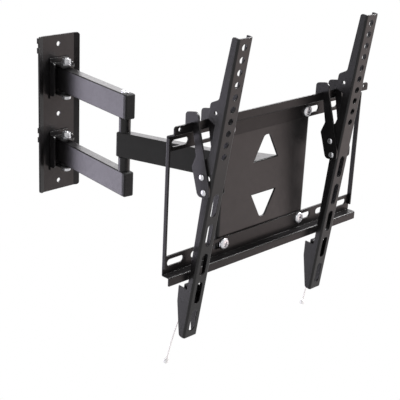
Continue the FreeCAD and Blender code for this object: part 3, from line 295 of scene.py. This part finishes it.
def add_rings(verts, faces, rings, place, closed):
    """Skins a stack of rings, capped at both ends or joined to itself."""
    base = len(verts)
    for ring in rings:
        for step, (radius, level) in enumerate(ring):
            angle = 2 * math.pi * step / RING_STEPS
            verts.append(place @ Vector((radius * math.cos(angle), radius * math.sin(angle), level)))
    rows = len(rings) if closed else len(rings) - 1
    for row in range(rows):
        low = base + row * RING_STEPS
        high = base + (row + 1) % len(rings) * RING_STEPS
        for step in range(RING_STEPS):
            after = (step + 1) % RING_STEPS
            faces.append((low + step, low + after, high + after, high + step))
    if not closed:
        last = base + (len(rings) - 1) * RING_STEPS
        faces.append(tuple(reversed(range(base, base + RING_STEPS))))
        faces.append(tuple(range(last, last + RING_STEPS)))


def add_bar(verts, faces, place):
    """A tapered bar across the crown, one of the two that cut a screw's cross recess."""
    base = len(verts)
    for level, along, across in ((-SCREW_HEAD, 1, 1), (CROSS_DEPTH, CROSS_LENGTH_TAPER, CROSS_WIDTH_TAPER)):
        length = CROSS_LENGTH / 2 * along
        width = CROSS_WIDTH / 2 * across
        for x, y in ((-length, -width), (length, -width), (length, width), (-length, width)):
            verts.append(place @ Vector((x, y, level)))
    for face in ((3, 2, 1, 0), (4, 5, 6, 7), (0, 1, 5, 4), (1, 2, 6, 5), (2, 3, 7, 6), (3, 0, 4, 7)):
        faces.append(tuple(base + corner for corner in face))


def new_object(name, verts, faces):
    mesh = bpy.data.meshes.new(name)
    mesh.from_pydata(verts, [], faces)
    mesh.validate()
    item = bpy.data.objects.new(name, mesh)
    bpy.context.scene.collection.objects.link(item)
    return item


def stack_object(name, rings, places, closed=False):
    verts, faces = [], []
    for place in places:
        add_rings(verts, faces, rings, place, closed)
    return new_object(name, verts, faces)


def finish_fastener(item, body, node):
    mesh = item.data
    mesh.polygons.foreach_set("use_smooth", [True] * len(mesh.polygons))
    mesh.set_sharp_from_angle(angle=SMOOTH_ANGLE)
    mesh.materials.clear()
    mesh.materials.append(ZINC)
    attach(item, body)
    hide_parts(node)


def upright_places(node, length):
    """Places for one or two upright pieces of the given length at the ends of a node's box."""
    low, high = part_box(node)
    middle = Vector(((low[0] + high[0]) / 2, (low[1] + high[1]) / 2, 0))
    levels = {round(low[2], 4), round(high[2] - length, 4)}
    return [Matrix.Translation(middle + Vector((0, 0, level))) for level in sorted(levels)]


def facing_places(node):
    """Places for two pieces that start at the left and right end of a node's box."""
    low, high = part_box(node)
    y = (low[1] + high[1]) / 2
    z = (low[2] + high[2]) / 2
    return [Matrix.Translation((x, y, z)) @ Matrix.Rotation(math.radians(turn), 4, "Y")
            for x, turn in ((low[0], 90), (high[0], -90))]


def cut_recesses(screws, places):
    """Cuts a cross recess into the crown of each screw."""
    tools = []
    for bar in (0, 1):
        verts, faces = [], []
        for index, place in enumerate(places):
            turn = CROSS_FIRST_TURN + CROSS_TURN_STEP * index + bar * math.pi / 2
            add_bar(verts, faces, place @ Matrix.Rotation(turn, 4, "Z"))
        tool = new_object("recess_bar", verts, faces)
        cut = screws.modifiers.new("recess", "BOOLEAN")
        cut.operation = "DIFFERENCE"
        cut.solver = "EXACT"
        cut.object = tool
        tools.append(tool)
    bpy.context.view_layer.update()
    evaluated = screws.evaluated_get(bpy.context.evaluated_depsgraph_get())
    recessed = bpy.data.meshes.new_from_object(evaluated)
    screws.modifiers.clear()
    screws.data = recessed
    for tool in tools:
        bpy.data.objects.remove(tool)


for prefix, body, bolt_node, nut_node in (("shoulder", "wall_bracket", "shoulder_bolts", "shoulder_nuts"),
                                          ("head", "tv_plate", "head_bolt", "head_nut")):
    bolts = stack_object(prefix + "_hex_bolts", bolt_rings(), upright_places(bolt_node, BOLT_LENGTH))
    finish_fastener(bolts, body, bolt_node)
    nuts = stack_object(prefix + "_hex_nuts", nut_rings(NUT_FLATS, NUT_HEIGHT, BOLT_RADIUS),
                        upright_places(nut_node, NUT_HEIGHT), closed=True)
    finish_fastener(nuts, body, nut_node)

low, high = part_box("frame_screws")
towards_wall = Matrix.Rotation(math.radians(-90), 4, "X")
screw_places = []
screw_nut_places = []
for x in (low[0] + SCREW_HEAD_RADIUS, high[0] - SCREW_HEAD_RADIUS):
    for z in (low[2] + SCREW_HEAD_RADIUS, high[2] - SCREW_HEAD_RADIUS):
        screw_places.append(Matrix.Translation((x, low[1], z)) @ towards_wall)
        screw_nut_places.append(Matrix.Translation((x, high[1] - SCREW_NUT_FROM_TIP, z)) @ towards_wall)
screw_nuts = stack_object("frame_hex_nuts", nut_rings(SCREW_NUT_FLATS, SCREW_NUT_HEIGHT, SCREW_RADIUS),
                          screw_nut_places, closed=True)
finish_fastener(screw_nuts, "tv_plate", "frame_nuts")

for name in ("left", "right"):
    for use in ("pivot", "guide"):
        node = "%s_%s_rivets" % (name, use)
        rivets = stack_object("%s_%s_round_rivets" % (name, use), rivet_rings(), facing_places(node))
        finish_fastener(rivets, name + "_hanger", node)

screws = stack_object("frame_pan_screws", screw_rings(), screw_places)
cut_recesses(screws, screw_places)
finish_fastener(screws, "tv_plate", "frame_screws")


# Pull cords: the route of each, as distance down its channel and depth, in metres

TILTS = {"left": math.radians(9.4), "right": math.radians(7.5)}
PIVOT_FROM_TOP = 0.217
PIVOT_DEPTH = 0.010
CORD_SIDE = 0.007
CORD_DIAMETER = 0.002
CORD_ROUTES = {
    "left": [(0.412, 0.0165), (0.432, 0.022), (0.468, 0.027), (0.503, 0.0304)],
    "right": [(0.412, 0.0165), (0.432, 0.0195), (0.460, 0.0215), (0.485, 0.0228)],
}

for name, side in (("left", -1), ("right", 1)):
    hinge = [joint for joint in frame["joints"] if joint["name"] == name + "_tilt"][0]
    channel = Matrix.Translation(Vector(hinge["pos_m"])) @ Matrix.Rotation(TILTS[name], 4, "X")
    points = [channel @ Vector((side * CORD_SIDE, depth - PIVOT_DEPTH, PIVOT_FROM_TOP - down))
              for down, depth in CORD_ROUTES[name]]
    curve = bpy.data.curves.new(name + "_cord", "CURVE")
    curve.dimensions = "3D"
    curve.bevel_depth = CORD_DIAMETER / 2
    curve.bevel_resolution = 4
    curve.use_fill_caps = True
    spline = curve.splines.new("NURBS")
    spline.points.add(len(points) - 1)
    for spot, point in zip(spline.points, points):
        spot.co = (*point, 1)
    spline.order_u = 3
    spline.use_endpoint_u = True
    spline.resolution_u = 16
    cord = bpy.data.objects.new(name + "_cord", curve)
    bpy.context.scene.collection.objects.link(cord)
    curve.materials.append(BRAID)
    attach(cord, name + "_latch_body")
    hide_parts(name + "_pull_cord")


# Camera at the photograph's place

AZIMUTH = math.radians(-45.57)
ELEVATION = math.radians(20.51)
ROLL = math.radians(2.77)
CAMERA_PLACE = (-1.0593, -1.3871, 0.5008)
FOCAL_PIXELS = 1054.39
PHOTO_PIXELS = 400
SENSOR_WIDTH = 36

back = Vector((math.sin(AZIMUTH) * math.cos(ELEVATION), -math.cos(AZIMUTH) * math.cos(ELEVATION),
               math.sin(ELEVATION)))
level_right = Vector((math.cos(AZIMUTH), math.sin(AZIMUTH), 0))
level_up = level_right.cross(-back)
right = math.cos(ROLL) * level_right + math.sin(ROLL) * level_up
up = math.cos(ROLL) * level_up - math.sin(ROLL) * level_right
camera_data = bpy.data.cameras.new("camera")
camera_data.sensor_width = SENSOR_WIDTH
camera_data.lens = FOCAL_PIXELS * SENSOR_WIDTH / PHOTO_PIXELS
camera_data.clip_end = 50
camera = bpy.data.objects.new("camera", camera_data)
camera.matrix_world = Matrix.Translation(CAMERA_PLACE) @ Matrix((right, up, back)).transposed().to_4x4()
bpy.context.scene.collection.objects.link(camera)
bpy.context.scene.camera = camera


# Room: white to the camera, in reflections and through clear pieces, plain light otherwise

ROOM_LIGHT = 0.35
FLOOR_LEVEL = -1.2
FLOOR_REACH = 12

bpy.context.scene.view_settings.view_transform = "Standard"


def seen(tree):
    """1 for a ray that the camera sees straight, mirrored or through a piece, 0 for light that is cast."""
    path = tree.nodes.new("ShaderNodeLightPath")
    total = path.outputs["Is Camera Ray"]
    for ray in ("Is Glossy Ray", "Is Transmission Ray"):
        either = tree.nodes.new("ShaderNodeMath")
        either.operation = "MAXIMUM"
        tree.links.new(total, either.inputs[0])
        tree.links.new(path.outputs[ray], either.inputs[1])
        total = either.outputs["Value"]
    return total


def where_seen(tree, plain, white, output):
    """Shows the white shader to rays that are seen, and the plain one to the rest."""
    mix = tree.nodes.new("ShaderNodeMixShader")
    tree.links.new(seen(tree), mix.inputs["Fac"])
    tree.links.new(plain, mix.inputs[1])
    tree.links.new(white, mix.inputs[2])
    tree.links.new(mix.outputs["Shader"], tree.nodes[output].inputs["Surface"])


def room_world():
    world = bpy.data.worlds.new("room")
    world.use_nodes = True
    tree = world.node_tree
    light = tree.nodes["Background"]
    light.inputs["Color"].default_value = (1, 1, 1, 1)
    light.inputs["Strength"].default_value = ROOM_LIGHT
    white = tree.nodes.new("ShaderNodeBackground")
    white.inputs["Color"].default_value = (1, 1, 1, 1)
    white.inputs["Strength"].default_value = 1.0
    where_seen(tree, light.outputs["Background"], white.outputs["Background"], "World Output")
    return world


def floor_material():
    material, tree, shader = new_material("pale_floor")
    tree.links.new(blend(tree, noise(tree, 3, 4), (0.80, 0.80, 0.80), (0.82, 0.82, 0.82)),
                   shader.inputs["Base Color"])
    shader.inputs["Roughness"].default_value = 0.8
    white = tree.nodes.new("ShaderNodeEmission")
    white.inputs["Color"].default_value = (1, 1, 1, 1)
    where_seen(tree, shader.outputs["BSDF"], white.outputs["Emission"], "Material Output")
    return material


bpy.context.scene.world = room_world()
corners = [(x * FLOOR_REACH, y * FLOOR_REACH, FLOOR_LEVEL) for x, y in ((-1, -1), (1, -1), (1, 1), (-1, 1))]
floor = new_object("floor", corners, [(0, 1, 2, 3)])
floor.data.materials.append(floor_material())


# Lamps, each where one family of faces mirrors it to the camera

LAMP_AIM = (0.05, -0.3, 0.0)


def soft_box(name, place, size, brightness, colour=(1, 1, 1)):
    """A lamp of the given width and height whose face shows the given brightness."""
    lamp = bpy.data.lights.new(name, "AREA")
    lamp.shape = "RECTANGLE"
    lamp.size, lamp.size_y = size
    lamp.energy = brightness * math.pi * size[0] * size[1]
    lamp.color = colour
    item = bpy.data.objects.new(name, lamp)
    item.location = place
    item.rotation_euler = (Vector(LAMP_AIM) - Vector(place)).to_track_quat("-Z", "Y").to_euler()
    item.visible_camera = False
    bpy.context.scene.collection.objects.link(item)


soft_box("back_high", (1.3, 1.6, 1.1), (2.4, 2.4), 2.2, (1.0, 0.97, 1.0))
soft_box("back_left", (-1.0, 1.6, -0.6), (1.5, 1.5), 4.3, (0.87, 0.81, 1.0))
soft_box("front_right", (1.6, -2.0, -0.5), (2.2, 2.2), 1.15, (1.0, 0.74, 0.70))
soft_box("over_right", (1.6, -0.8, 1.5), (0.3, 1.3), 90.0)
soft_box("front_fill", (-1.5, -1.1, 1.3), (0.6, 0.6), 10.0)
